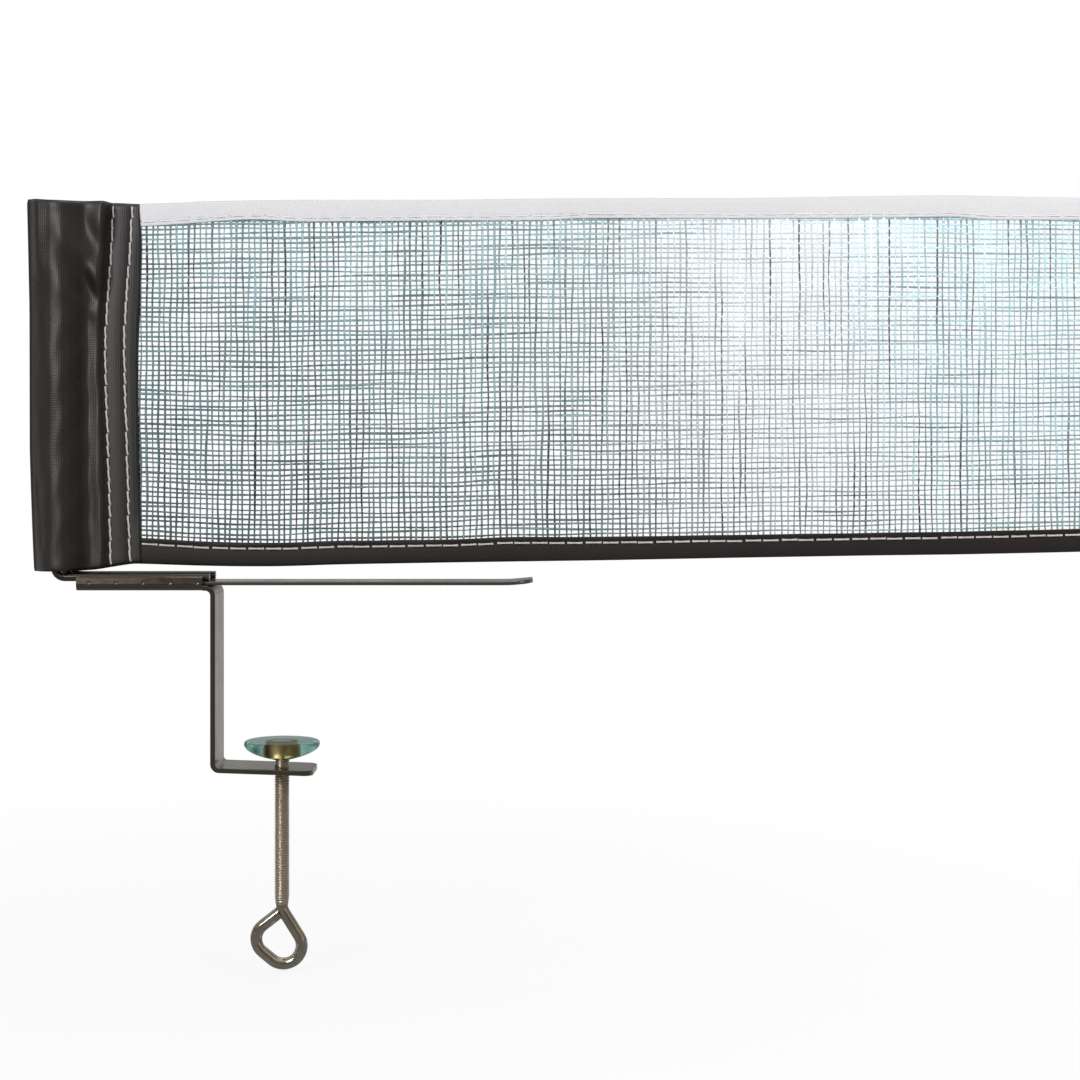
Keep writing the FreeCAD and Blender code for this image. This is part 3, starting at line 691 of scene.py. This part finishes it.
# %% Build the sleeve
# The wire is straight, but the fold beside it and the sewn rows lean and bow, each in its own way.
sleeve_top = soft_line([
    (-80, 154.2), (-71, 152.9), (-66, 152.6), (-52, 152.7), (-42, 152.4), (-35.5, 152.1)], 2.5)
sleeve_foot = soft_line([
    (-80, 5.2), (-70, 5.5), (-60, 5.5), (-53.5, 5.8), (-47.3, 6.7), (-40.7, 7.8), (-35, 8.5)], 2.0)
bows = [
    (fold_tip, soft_line([(5, 1.8), (15, 1.3), (34, 0.6), (53, 0), (110, -0.1), (138, -0.7),
                          (154, -1.1)], 4)),
    (-73, soft_line([(5, 0.6), (154, -0.3)], 4)),
    (-62, soft_line([(5, 0), (154, 0)], 4)),
    (inner_row, soft_line([(6, -0.6), (26, -0.7), (49, -1.4), (71, -2.1), (88, -2.7), (104, -2.4),
                           (116, -1.6), (127, -0.7), (150, 0.6)], 5)),
    (outer_row, soft_line([(6, -0.4), (26, -1), (49, -1.5), (71, -2.2), (90, -2.8), (105, -2.6),
                           (116, -1.8), (127, -0.9), (150, 0.6)], 5)),
    (net_start, soft_line([(6, 0.8), (22, 0.5), (40, -0.1), (66, -0.7), (95, -0.8), (110, 0),
                           (136, 0.9), (152, -0.2)], 6)),
]


def sleeve_bow(x, z):
    """How far a place on the sleeve stands to the right of its nominal x at this height."""
    shift = bows[0][1](z)
    for (left, near), (right, far) in zip(bows, bows[1:]):
        shift = shift + np.clip((x - left) / (right - left), 0, 1) * (far(z) - near(z))
    return shift


def on_sleeve(x, share, side):
    """Place on the sleeve's skin at a nominal x and a share of its height."""
    foot, top = sleeve_foot(x), sleeve_top(x)
    z = foot + (top - foot) * share
    rolled = 0.5 * ease(z, top - 1.4, top) + 0.3 * (1 - ease(z, foot, foot + 1.2))
    depth = sleeve_depth(x, z, side) - rolled
    return np.stack([x + sleeve_bow(x, z), side * depth, z], axis=-1)


edge_x = np.linspace(net_start, fold_tip, 400)
run = np.concatenate([[0], np.cumsum(np.hypot(np.diff(edge_x), np.diff(profile(edge_x))))])
columns_a_side, points_up = 74, 104
front_columns = np.interp(np.linspace(0, run[-1], columns_a_side), run, edge_x)
rows = np.linspace(0, 1, points_up)
columns = [on_sleeve(np.full(rows.shape, x), rows, -1) for x in front_columns]
tip = on_sleeve(np.full(rows.shape, fold_tip), rows, -1)
for turn in (-45, 0, 45):
    reach = -tip[:, 1]
    columns.append(np.stack([
        tip[:, 0] - 0.75 * reach * math.cos(math.radians(turn)),
        reach * math.sin(math.radians(turn)), tip[:, 2]], axis=-1))
columns += [on_sleeve(np.full(rows.shape, x), rows, 1) for x in front_columns[::-1]]
sleeve = make_piece("sleeve_cloth", np.concatenate(columns), grid_faces(len(columns), len(rows)))
thicken(sleeve, sleeve_wall, -1)
belongs(sleeve, "net", "sleeve_nylon", "net_sleeve", finish=sleeve_nylon)

# %% [markdown]
# Stitches. A lockstitch shows one short bar of thread for each stitch on both sides of the cloth,
# and its ends dive into the needle holes. Each bar is the same, only its place and direction
# change, so one tree makes them all: it takes a mesh with one edge for each stitch and the
# direction out of the cloth, bends every edge into an arch that sinks at both ends, and gives it a
# thread's thickness.

# %% Tree for sewn stitches
tree, sizes = start_tree("sewn_stitches", ["Thread Radius", "Arch", "Sink"])
line = add(tree, "GeometryNodeMeshToCurve", {"Mesh": sizes["Geometry"]})
parted = add(tree, "GeometryNodeResampleCurve", {"Curve": line, "Count": 7})
along = add(tree, "GeometryNodeSplineParameter")
half_wave = add(tree, "ShaderNodeMath", along, math.pi, operation="MULTIPLY")
hump = add(tree, "ShaderNodeMath", half_wave, operation="SINE")
flat_top = add(tree, "ShaderNodeMath", hump, 0.45, operation="POWER")
rise = add(tree, "ShaderNodeMath", flat_top, sizes["Arch"], operation="MULTIPLY")
height = add(tree, "ShaderNodeMath", rise, sizes["Sink"], operation="SUBTRACT")
outward = add(tree, "GeometryNodeInputNamedAttribute", {"Name": "out"}, data_type="FLOAT_VECTOR")
lift = add(tree, "ShaderNodeVectorMath", outward, {"Scale": height}, operation="SCALE")
arched = add(tree, "GeometryNodeSetPosition", {"Geometry": parted, "Offset": lift})
round_section = add(tree, "GeometryNodeCurvePrimitiveCircle", {
    "Resolution": 6, "Radius": sizes["Thread Radius"]})
drawn_thin = add(tree, "ShaderNodeMapRange", {"Value": hump, "To Min": 1.15, "To Max": 0.85})
bars = add(tree, "GeometryNodeCurveToMesh", {
    "Curve": arched, "Profile Curve": round_section, "Scale": drawn_thin, "Fill Caps": True})
sewn_stitches = end_tree(tree, bars, sizes["Material"])

# %% Sew the rows


def sew(name, node, starts, ends, outs, radius=0.44, finish=seam_cotton, slot="seam_thread"):
    """One piece of stitches from arrays of their two ends and their outward directions, in mm."""
    count = len(starts)
    points = np.empty((2 * count, 3))
    points[0::2] = starts
    points[1::2] = ends
    piece = make_piece(name, points, [], [(2 * i, 2 * i + 1) for i in range(count)])
    out = piece.data.attributes.new("out", "FLOAT_VECTOR", "POINT")
    out.data.foreach_set("vector", np.repeat(outs, 2, axis=0).ravel())
    run_tree(piece, sewn_stitches, Material=finish, **{
        "Thread Radius": radius * MM, "Arch": (radius + 0.3) * MM, "Sink": 0.25 * MM})
    belongs(piece, "net", slot, node)
    return piece


def wobble(index, size):
    """A small repeatable unevenness, as a hand-fed machine leaves."""
    return size * np.sin(index * 2.39 + 0.7) * np.cos(index * 1.13)


def both_sides(count, place_of):
    """Both ends and the outward directions of a row's stitches, from place_of(side, end)."""
    starts, ends = (np.concatenate([place_of(side, end) for side in (-1, 1)]) for end in (0, 1))
    return starts, ends, np.repeat([(0.0, -1.0, 0.0), (0.0, 1.0, 0.0)], count, axis=0)


def upright_row(row_x, count=30, length=4.1):
    """Stitches up the sleeve, front and back, along one row; each leans a little."""
    index = np.arange(count)
    height = float(sleeve_top(row_x) - sleeve_foot(row_x))
    low = 1.2 + index * (height - 2.0) / count + wobble(index, 0.25)
    lean = 0.18

    def place_of(side, end):
        place = on_sleeve(np.full(count, row_x), (low + end * length) / height, side)
        place[:, 0] += lean * (1 - 2 * end) + wobble(index, 0.16)
        return place

    return both_sides(count, place_of)


def level_row(edge, cut, sewn_in, half, length, count=54):
    """Stitches along a folded band, front and back."""
    index = np.arange(count)
    pitch = (net_stop - net_start - 1.0) / count
    first = net_start + 0.9 + index * pitch + wobble(index, 0.3)
    above_cloth = 0.12

    def place_of(side, end):
        x = first + end * (length + wobble(index, 0.2))
        fold, low = edge(x), cut(x)
        z = low + sewn_in * np.sign(fold - low) + wobble(index, 0.12)
        return np.stack([x, sway(x, fold) + side * (half + above_cloth), z], axis=-1)

    return both_sides(count, place_of)


hem_gap, tape_gap = 0.2, 0.15
hem_row = level_row(hem_edge, hem_top, hem_sewn_in, hem_half + hem_gap, 5.8)
tape_row = level_row(tape_edge, tape_foot, tape_sewn_in, tape_half + tape_gap, 5.6)
rows_sewn = [
    sew("sleeve_stitches_inner", "sleeve_seam_inner", *upright_row(inner_row)),
    sew("sleeve_stitches_outer", "sleeve_seam_outer", *upright_row(outer_row)),
    sew("hem_stitches", "hem_seam", *hem_row),
    sew("tape_stitches", "tape_seam", *tape_row, 0.3, tape_thread, "tape_thread"),
]
print("stitches:", {row.name: len(row.data.polygons) for row in rows_sewn})

# %% [markdown]
# The clamp screw. Its M6 thread is rolled onto the rod: one turn for each millimetre, with 60
# degree flanks and rounded crests. A thread is a rule, the radius at a point depends only on its
# height and its angle, so the tree takes a finely divided cylinder and moves every point in or out
# by that rule. The eye below is the same rod bent cold, so it is a bevelled curve along straight
# runs and arcs.

# %% Tree for the screw thread
tree, sizes = start_tree("screw_thread", [
    "Length", "Pitch", "Root", "Crest", "Runout"], ["Rings", "Sides"])
blank = add(tree, "GeometryNodeMeshCylinder", {
    "Vertices": sizes["Sides"], "Side Segments": sizes["Rings"], "Radius": sizes["Crest"],
    "Depth": sizes["Length"]})
place = add(tree, "GeometryNodeInputPosition")
spot = add(tree, "ShaderNodeSeparateXYZ", place).outputs
angle = add(tree, "ShaderNodeMath", spot["Y"], spot["X"], operation="ARCTAN2")
turns_round = add(tree, "ShaderNodeMath", angle, 2 * math.pi, operation="DIVIDE")
turns_up = add(tree, "ShaderNodeMath", spot["Z"], sizes["Pitch"], operation="DIVIDE")
helix = add(tree, "ShaderNodeMath", turns_up, turns_round, operation="SUBTRACT")
flank = add(tree, "ShaderNodeMath", helix, 0.5, operation="PINGPONG")
shaped = add(tree, "ShaderNodeMapRange", {"Value": flank, "From Min": 0.06, "From Max": 0.38})
deep = add(tree, "ShaderNodeMath", sizes["Crest"], sizes["Root"], operation="SUBTRACT")
half_length = add(tree, "ShaderNodeMath", sizes["Length"], 0.5, operation="MULTIPLY")
from_foot = add(tree, "ShaderNodeMath", spot["Z"], half_length, operation="ADD")
grown = add(tree, "ShaderNodeMapRange", {"Value": from_foot, "From Max": sizes["Runout"]})
cut = add(tree, "ShaderNodeMath", shaped, grown, operation="MULTIPLY")
stand = add(tree, "ShaderNodeMath", cut, deep, sizes["Root"], operation="MULTIPLY_ADD")
share_of_crest = add(tree, "ShaderNodeMath", stand, sizes["Crest"], operation="DIVIDE")
in_or_out = add(tree, "ShaderNodeCombineXYZ", share_of_crest, share_of_crest, 1.0)
moved = add(tree, "ShaderNodeVectorMath", place, in_or_out, operation="MULTIPLY")
rolled = add(tree, "GeometryNodeSetPosition", {"Geometry": blank, "Position": moved})
screw_thread = end_tree(tree, rolled, sizes["Material"])

# %% Threaded rod with its neck and head
screw_x = 21.0
shoulder_z = -68.5
thread_foot = -128.2
thread_length = shoulder_z - thread_foot
threaded_rod = make_piece("threaded_rod", [(0, 0, 0)], [])
run_tree(
    threaded_rod, screw_thread, Rings=int(thread_length * 8), Sides=28, Material=thread_nickel,
    Length=thread_length * MM, Pitch=1.0 * MM, Root=2.52 * MM, Crest=3.0 * MM, Runout=3.0 * MM)
move_points(
    threaded_rod, points_of(threaded_rod) + np.array([screw_x, 0, (shoulder_z + thread_foot) / 2]))
belongs(threaded_rod, "screw", "screw_steel", "clamp_screw")


def turned(name, outline, steps=48):
    """A shape turned about the screw's axis from (radius, height) points, closed at its poles."""
    angles = [2 * math.pi * i / steps for i in range(steps)]
    points = [(screw_x + r * math.cos(a), r * math.sin(a), z) for a in angles for r, z in outline]
    count = len(outline)
    faces = []
    for i in range(steps):
        here, there = i * count, (i + 1) % steps * count
        faces += [(here + k, there + k, there + k + 1, here + k + 1) for k in range(count - 1)]
    piece = make_piece(name, points, faces)
    work = bmesh.new()
    work.from_mesh(piece.data)
    bmesh.ops.remove_doubles(work, verts=work.verts, dist=1e-6)
    bmesh.ops.recalc_face_normals(work, faces=work.faces)
    work.to_mesh(piece.data)
    work.free()
    return piece


head_outline = [
    (0, -68.6), (2.3, -68.6), (2.5, -68.4), (2.5, -65.5), (3.7, -65.5), (4, -65.2), (4, -64.3),
    (3.6, -63.95), (0, -63.9)]
screw_head = turned("screw_head", head_outline)
belongs(screw_head, "screw", "screw_steel", finish=thread_nickel)
print("rod:", len(threaded_rod.data.polygons), "faces")

# %% [markdown]
# The pad cap is a shallow bowl of vinyl with a flat top, pressed over the yellow socket. The
# outline of the bowl is read from the photo and turned about the screw's axis. Its pocket fits the
# socket without a gap, as soft vinyl does, so the socket shows through it instead of a layer of
# air.

# %% Vinyl cap of the pad
cap_outline = [
    (0, -62.6), (13.4, -62.6), (13.9, -62.63), (14.6, -62.85), (15, -63.3), (15.15, -63.9),
    (14.95, -64.8), (14.3, -65.8), (13.7, -66.3), (12.8, -66.95), (10.7, -67.95), (8.4, -68.85),
    (6.2, -69.5), (4.4, -70), (3.6, -70.15), (2.8, -70.1), (2.62, -69.9), (2.62, -68.6),
    (2.7, -68.42), (6.3, -68.42), (6.48, -68.3), (6.48, -63.95), (6.3, -63.8), (0, -63.8)]
pad_vinyl = turned("pad_vinyl", cap_outline, 72)
pad_vinyl.visible_shadow = False
belongs(pad_vinyl, "pad", "cap_vinyl", "pad_cap", finish=cap_vinyl)
print("cap:", len(pad_vinyl.data.polygons), "faces")

# %% Bent eye of the screw


def arc_points(centre, radius, start_deg, end_deg, steps):
    turns = np.radians(np.linspace(start_deg, end_deg, steps))
    return [(centre[0] + radius * math.cos(t), centre[1] + radius * math.sin(t)) for t in turns]


eye_low, eye_low_r = (21.6, -144.8), 7.3
eye_high, eye_high_r = (17.4, -142.1), 6.7
rod_deg, tail_deg, knee_r = 32.0, 128.0, 6.0
leave = arc_points(eye_low, eye_low_r, rod_deg, rod_deg, 1)[0]
knee_z = leave[1] + (leave[0] - screw_x) / math.tan(math.radians(rod_deg))
knee_cut = knee_r * math.tan(math.radians(rod_deg) / 2)
gap_x, gap_z = eye_high[0] - eye_low[0], eye_high[1] - eye_low[1]
shared_deg = math.degrees(
    math.atan2(gap_z, gap_x) + math.acos((eye_low_r - eye_high_r) / math.hypot(gap_x, gap_z)))
eye_line = [(screw_x, thread_foot + 2.0), (screw_x, knee_z + knee_cut + 1.0)]
eye_line += arc_points((screw_x + knee_r, knee_z + knee_cut), knee_r, 180, 180 + rod_deg, 7)
eye_line += arc_points(eye_low, eye_low_r, rod_deg, shared_deg - 360, 34)
eye_line += arc_points(eye_high, eye_high_r, shared_deg, tail_deg, 16)
tail = eye_line[-1]
tail_way = (math.sin(math.radians(tail_deg)), -math.cos(math.radians(tail_deg)))
tail_run = (screw_x - 1.0 - tail[0]) / tail_way[0]
eye_line.append((tail[0] + tail_way[0] * tail_run, tail[1] + tail_way[1] * tail_run))

curve = bpy.data.curves.new("eye_line", "CURVE")
curve.dimensions = "3D"
curve.bevel_depth = 2.4 * MM
curve.bevel_resolution = 6
curve.use_fill_caps = True
spline = curve.splines.new("POLY")
spline.points.add(len(eye_line) - 1)
for point, (x, z) in zip(spline.points, eye_line):
    point.co = (x * MM, 0, z * MM, 1)
eye_curve = put_in_scene("eye_curve", curve)
eye_mesh = plain_mesh(eye_curve)
bpy.data.objects.remove(eye_curve)
eye_mesh.name = "screw_eye"
screw_eye = put_in_scene("screw_eye", eye_mesh)
belongs(screw_eye, "screw", "screw_steel", finish=eye_nickel)
print(
    "eye:", len(eye_mesh.polygons), "faces, lowest point",
    round(min(v.co.z for v in eye_mesh.vertices) / MM, 1), "mm")

# %% [markdown]
# Cloth has a size before it is sewn, and a simulation or a careless profile can stretch cloth
# without anyone seeing it.

print("four cloth sheets made")

# %% [markdown]
# Camera. The picture is taken straight from the front, at the height of the net's lower part, with
# a long lens, so the net and clamp look almost flat and only the jaw's top shows a little. Upright
# edges stay upright, as in a picture cropped from a level view, so the frame is shifted down a
# little instead of tilting the camera.

# %% Camera


def aim(thing, way):
    """Turn a camera or a lamp so that it looks this way."""
    thing.rotation_mode = "QUATERNION"
    thing.rotation_quaternion = way.to_track_quat("-Z", "Y")


camera_data = bpy.data.cameras.new("front_view")
camera_data.sensor_width = 36.0
camera_data.lens = 70.7
camera = put_in_scene("front_view", camera_data)
scene.camera = camera
camera_x, camera_away, camera_height, frame_middle = 124.4, 850.0, 53.6, 17.6
camera.location = Vector((camera_x, -camera_away, camera_height)) * MM
aim(camera, Vector((0, 1, 0)))
camera_data.shift_y = (
    (frame_middle - camera_height) / camera_away * camera_data.lens / camera_data.sensor_width)
print("camera", camera_away, "mm away, shift", round(camera_data.shift_y, 4))

# %% [markdown]
# Floor, light and background. The main soft lamp stands above the camera on the left and picks out
# the folds; a weaker one on the right lights the far end of the net, and one above lights the tops.
# The camera sees paper white. Mirror rays and rays through the vinyl see a studio with a pale
# backdrop, a bright ceiling and a dim warm room on the camera's side, because metal is as bright as
# what it mirrors, and the photo's metal is mid grey with dark edges.

# %% Floor
studio_back = "#C3C2BF"
WHITE = (1, 1, 1, 1)


def kinds_of_ray(tree):
    """1 for the camera's rays, and 1 for rays that metal mirrors or vinyl lets through."""
    rays = add(tree, "ShaderNodeLightPath").outputs
    mirrored = add(
        tree, "ShaderNodeMath", rays["Is Glossy Ray"], rays["Is Transmission Ray"],
        operation="MAXIMUM")
    return rays["Is Camera Ray"], mirrored


floor_finish, tree, place = start_finish("pale_floor")
matt = add(tree, "ShaderNodeBsdfDiffuse", {"Color": linear("#E4E4E2")})
camera_rays, mirror_rays = kinds_of_ray(tree)
# The camera sees white, a little short of it close to the object.
away = add(tree, "ShaderNodeVectorMath", place, operation="LENGTH").outputs["Value"]
pure = add(tree, "ShaderNodeMapRange", {
    "Value": away, "From Min": 0.15, "From Max": 0.5, "To Min": 0.88})
white_share = add(tree, "ShaderNodeMath", camera_rays, pure, operation="MULTIPLY")
white = add(tree, "ShaderNodeEmission", {"Color": WHITE})
# Mirror rays see a floor that is dim in front and as bright as the backdrop behind.
depth = add(tree, "ShaderNodeSeparateXYZ", place).outputs["Y"]
behind = add(tree, "ShaderNodeMapRange", {
    "Value": depth, "From Min": -0.03, "From Max": 0.3, "To Min": 0.42})
mirrored = add(tree, "ShaderNodeEmission", {"Color": linear(studio_back), "Strength": behind})
for_metal = add(tree, "ShaderNodeMixShader", mirror_rays, matt, mirrored)
mixed = add(tree, "ShaderNodeMixShader", white_share, for_metal, white)
end_finish(tree, mixed)
floor_z, floor_reach = cad_low.z / MM - 1.0, 6000.0
corners = [
    (x * floor_reach, y * floor_reach, floor_z) for x, y in ((-1, -1), (1, -1), (1, 1), (-1, 1))]
floor = make_piece("floor", corners, [(0, 1, 2, 3)])
floor.data.materials.append(floor_finish)
print("floor at", round(floor_z, 1), "mm")

# %% World
world = bpy.data.worlds.new("studio")
scene.world = world
world.use_nodes = True
tree = world.node_tree
tree.nodes.clear()
camera_rays, mirror_rays = kinds_of_ray(tree)
towards = add(tree, "ShaderNodeTexCoord").outputs["Generated"]
direction = add(tree, "ShaderNodeSeparateXYZ", towards).outputs
from_front = add(tree, "ShaderNodeMapRange", {"Value": direction["Y"], "From Min": -1.0})
room = add(tree, "ShaderNodeValToRGB", from_front)
set_stops(room, [
    (0.0, "#564B3F"), (0.04, "#66594B"), (0.2, "#B3A894"), (0.42, "#857D70"), (0.6, "#62605B"),
    (0.9, studio_back)])
blots = add(tree, "ShaderNodeTexNoise", {"Vector": towards, "Scale": 3.4})
blot = add(tree, "ShaderNodeMapRange", {
    "Value": blots, "From Min": 0.38, "From Max": 0.62, "To Min": 0.3, "To Max": 1.6})
uneven = add(tree, "ShaderNodeVectorMath", room, {"Scale": blot}, operation="SCALE")
upwards = add(tree, "ShaderNodeMapRange", {
    "Value": direction["Z"], "From Min": 0.15, "From Max": 0.8, "To Max": 0.4})
ceiling = add(tree, "ShaderNodeMix", {
    "Factor": upwards, "A": uneven, "B": WHITE}, data_type="RGBA").outputs["Result"]
mirrored = add(tree, "ShaderNodeBackground", {"Color": ceiling})
daylight = add(tree, "ShaderNodeBackground", {"Color": WHITE, "Strength": 0.36})
shown = add(tree, "ShaderNodeBackground", {"Color": WHITE})
lit = add(tree, "ShaderNodeMixShader", mirror_rays, daylight, mirrored)
final = add(tree, "ShaderNodeMixShader", camera_rays, lit, shown)
add(tree, "ShaderNodeOutputWorld", {"Surface": final})
scene.view_settings.view_transform = "Standard"
print("world ready")

# %% Lamps
middle = (cad_low + cad_high) / 2


def soft_lamp(name, place, target, size, watts, mirrored_in_metal):
    data = bpy.data.lights.new(name, "AREA")
    data.shape = "SQUARE"
    data.size = size
    data.energy = watts
    lamp = put_in_scene(name, data)
    lamp.location = place
    aim(lamp, target - lamp.location)
    lamp.visible_camera = False
    lamp.visible_glossy = mirrored_in_metal


soft_lamp("key_front_left", Vector((-0.7, -1.25, 0.55)), middle, 0.45, 11.5, True)
soft_lamp("end_right", Vector((0.7, -0.6, 0.4)), Vector((0.38, 0, 0.1)), 0.3, 3.0, False)
soft_lamp("top", Vector((0.1, 0.05, 1.3)), middle, 0.7, 3.5, True)
print("three lamps")
